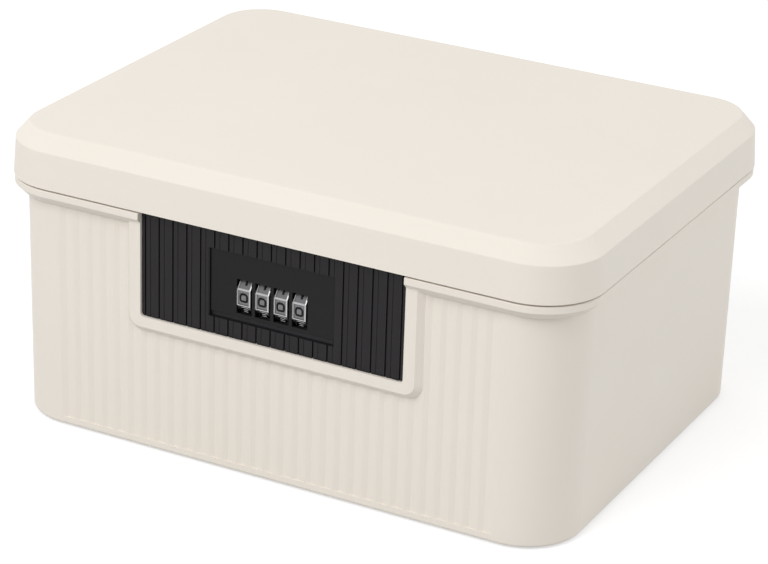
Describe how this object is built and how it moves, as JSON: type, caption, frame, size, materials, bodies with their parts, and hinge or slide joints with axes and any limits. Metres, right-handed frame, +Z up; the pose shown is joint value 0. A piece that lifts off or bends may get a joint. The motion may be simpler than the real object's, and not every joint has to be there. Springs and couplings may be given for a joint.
{
  "type": "lockable storage box",
  "caption": "Moulded storage box with a pleated front, a chamfered lid on a rear pin hinge and a dial combination lock in a black ribbed insert",
  "frame": {"origin": "middle of the overall footprint, on the surface that the feet stand on", "axes": "+Z up; +X to the right as seen from the front; the lock faces -Y and the hinge is at +Y"},
  "size_m": [0.3, 0.234, 0.147],
  "materials": {
    "cream_plastic": "fine satin moulded ABS",
    "black_plastic": "satin moulded ABS",
    "dark_plastic": "moulded ABS",
    "dial_metal": "plated die casting",
    "disc_brass": "turned",
    "steel": "zinc plated",
    "foot_rubber": "moulded"
  },
  "bodies": {
    "box": {"body_shell": "cream_plastic", "lock_cover": "black_plastic", "lock_case": "dark_plastic", "fence_comb": "steel", "case_screws": "steel", "mount_screws": "steel", "hinge_pin_left": "steel", "hinge_pin_right": "steel", "return_spring_left": "steel", "return_spring_right": "steel", "foot_front_left": "foot_rubber", "foot_front_right": "foot_rubber", "foot_back_left": "foot_rubber", "foot_back_right": "foot_rubber"},
    "lid": {"lid_shell": "cream_plastic", "lid_strike": "steel", "strike_screws": "steel"},
    "release": {"release_plate": "black_plastic", "dial_carrier": "dark_plastic", "dial_spindle": "steel", "spindle_clips": "steel", "detent_leaf": "steel"},
    "latch": {"latch_rocker": "dark_plastic"},
    "wheel_1": {"dial_1": "dial_metal", "code_disc_1": "disc_brass"},
    "wheel_2": {"dial_2": "dial_metal", "code_disc_2": "disc_brass"},
    "wheel_3": {"dial_3": "dial_metal", "code_disc_3": "disc_brass"},
    "wheel_4": {"dial_4": "dial_metal", "code_disc_4": "disc_brass"}
  },
  "joints": [
    {"name": "lid_hinge", "type": "hinge", "parent": "box", "child": "lid", "pos_m": [0, 0.113, 0.122], "axis": [-1, 0, 0], "range_deg": [0, 95]},
    {"name": "release_slide", "type": "slide", "parent": "box", "child": "release", "axis": [0, 0, -1], "range_m": [0, 0.002], "stiffness_N_per_m": 600, "springref_m": -0.005, "deforming": ["return_spring_left", "return_spring_right"]},
    {"name": "latch_rock", "type": "hinge", "parent": "box", "child": "latch", "pos_m": [0, -0.086, 0.078], "axis": [1, 0, 0], "range_deg": [0, 5.3]},
    {"name": "dial_1_turn", "type": "hinge", "parent": "release", "child": "wheel_1", "pos_m": [-0.01435, -0.1004, 0.0903], "axis": [1, 0, 0], "continuous": true},
    {"name": "dial_2_turn", "type": "hinge", "parent": "release", "child": "wheel_2", "pos_m": [-0.00479, -0.1004, 0.0903], "axis": [1, 0, 0], "continuous": true},
    {"name": "dial_3_turn", "type": "hinge", "parent": "release", "child": "wheel_3", "pos_m": [0.00479, -0.1004, 0.0903], "axis": [1, 0, 0], "continuous": true},
    {"name": "dial_4_turn", "type": "hinge", "parent": "release", "child": "wheel_4", "pos_m": [0.01435, -0.1004, 0.0903], "axis": [1, 0, 0], "continuous": true}
  ],
  "couplings": [
    {"joint": "latch_rock", "follows": "release_slide", "rad_per_m": 45.936}
  ]
}
